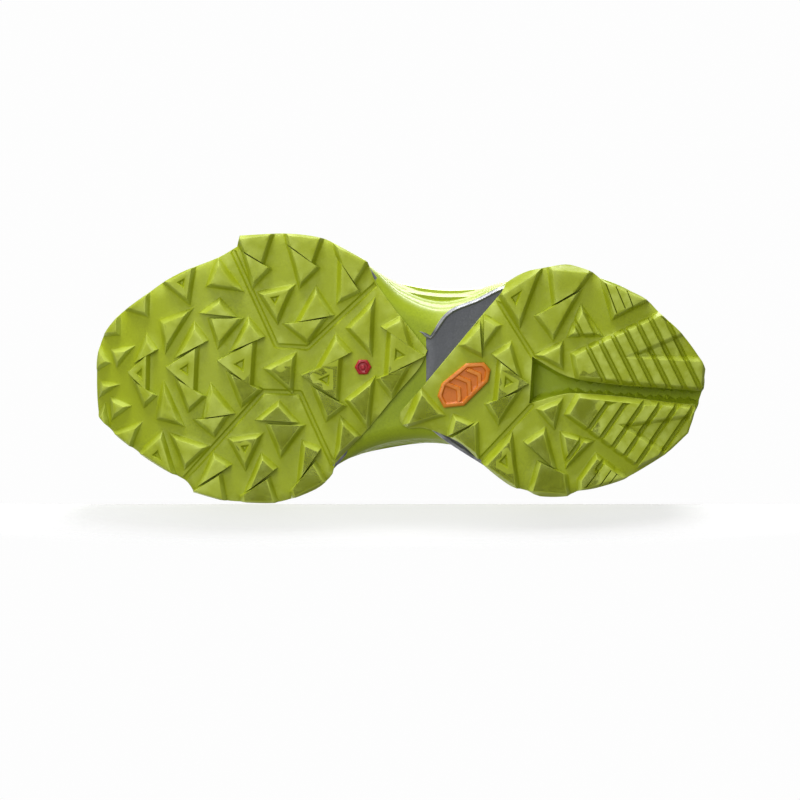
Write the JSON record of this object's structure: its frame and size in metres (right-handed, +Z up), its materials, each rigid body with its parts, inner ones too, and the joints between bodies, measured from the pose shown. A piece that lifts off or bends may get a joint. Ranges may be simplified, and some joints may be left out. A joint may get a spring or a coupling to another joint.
{
  "type": "running shoe",
  "caption": "Left trail running shoe: lugged two-pod rubber outsole, flared foam midsole with a shank plate, laced mesh upper, padded collar, hinged tongue top and heel pull tab.",
  "frame": {"origin": "middle of the shoe's footprint box, on the ground", "axes": "+Z up, +Y from toe to heel, +X to the outer (lateral) side of a left shoe"},
  "size_m": [0.1283, 0.2949, 0.1372],
  "materials": {
    "outsole_rubber": "satin lime rubber",
    "midsole_foam": "matte lime foam",
    "badge_rubber": "satin orange rubber",
    "plug_rubber": "satin red rubber",
    "plate_plastic": "silver grey moulded plate with a metallic paint",
    "board_textile": "pale non-woven board",
    "sockliner_textile": "dark knit over foam",
    "upper_mesh": "lime engineered mesh",
    "lining_textile": "dark olive knit",
    "overlay_film": "welded lime film",
    "moulded_overlay": "olive moulded overlay",
    "stiffener": "thermoplastic sheet",
    "padding_foam": "open cell foam",
    "eyelet_metal": "dark coated eyelets",
    "lace_textile": "woven flat lace",
    "aglet_plastic": "orange tip",
    "label_plastic": "moulded label",
    "webbing": "orange webbing"
  },
  "bodies": {
    "shoe": {"forefoot_outsole": "outsole_rubber", "heel_outsole": "outsole_rubber", "outsole_badge": "badge_rubber", "wear_plug": "plug_rubber", "toe_tab": "badge_rubber", "shank_plate": "plate_plastic", "midsole": "midsole_foam", "strobel_board": "board_textile", "sockliner": "sockliner_textile", "vamp": "upper_mesh", "lateral_quarter": "upper_mesh", "medial_quarter": "upper_mesh", "vamp_lining": "lining_textile", "collar_lining": "lining_textile", "toe_puff": "stiffener", "heel_counter": "stiffener", "collar_foam": "padding_foam", "toe_bumper": "moulded_overlay", "lateral_mudguard": "overlay_film", "medial_mudguard": "overlay_film", "heel_clip": "moulded_overlay", "heel_patch": "overlay_film", "lateral_saddle": "overlay_film", "medial_saddle": "overlay_film", "lateral_eyestay": "overlay_film", "medial_eyestay": "overlay_film", "lateral_eyelets": "eyelet_metal", "medial_eyelets": "eyelet_metal", "lace": "lace_textile", "aglets": "aglet_plastic", "tongue": "upper_mesh"},
    "tongue_flap": {"tongue_top": "upper_mesh", "tongue_label": "label_plastic"},
    "pull_tab": {"heel_pull_tab": "webbing"}
  },
  "joints": [
    {"name": "tongue_fold", "type": "hinge", "parent": "shoe", "child": "tongue_flap", "pos_m": [-0.0015, 0.0443, 0.116], "axis": [1, 0, 0], "range_deg": [0, 85], "stiffness_Nm_per_rad": 0.05},
    {"name": "pull_tab_fold", "type": "hinge", "parent": "shoe", "child": "pull_tab", "pos_m": [-0.005, 0.1462, 0.104], "axis": [-1, 0, 0], "range_deg": [-8, 35], "stiffness_Nm_per_rad": 0.01}
  ]
}
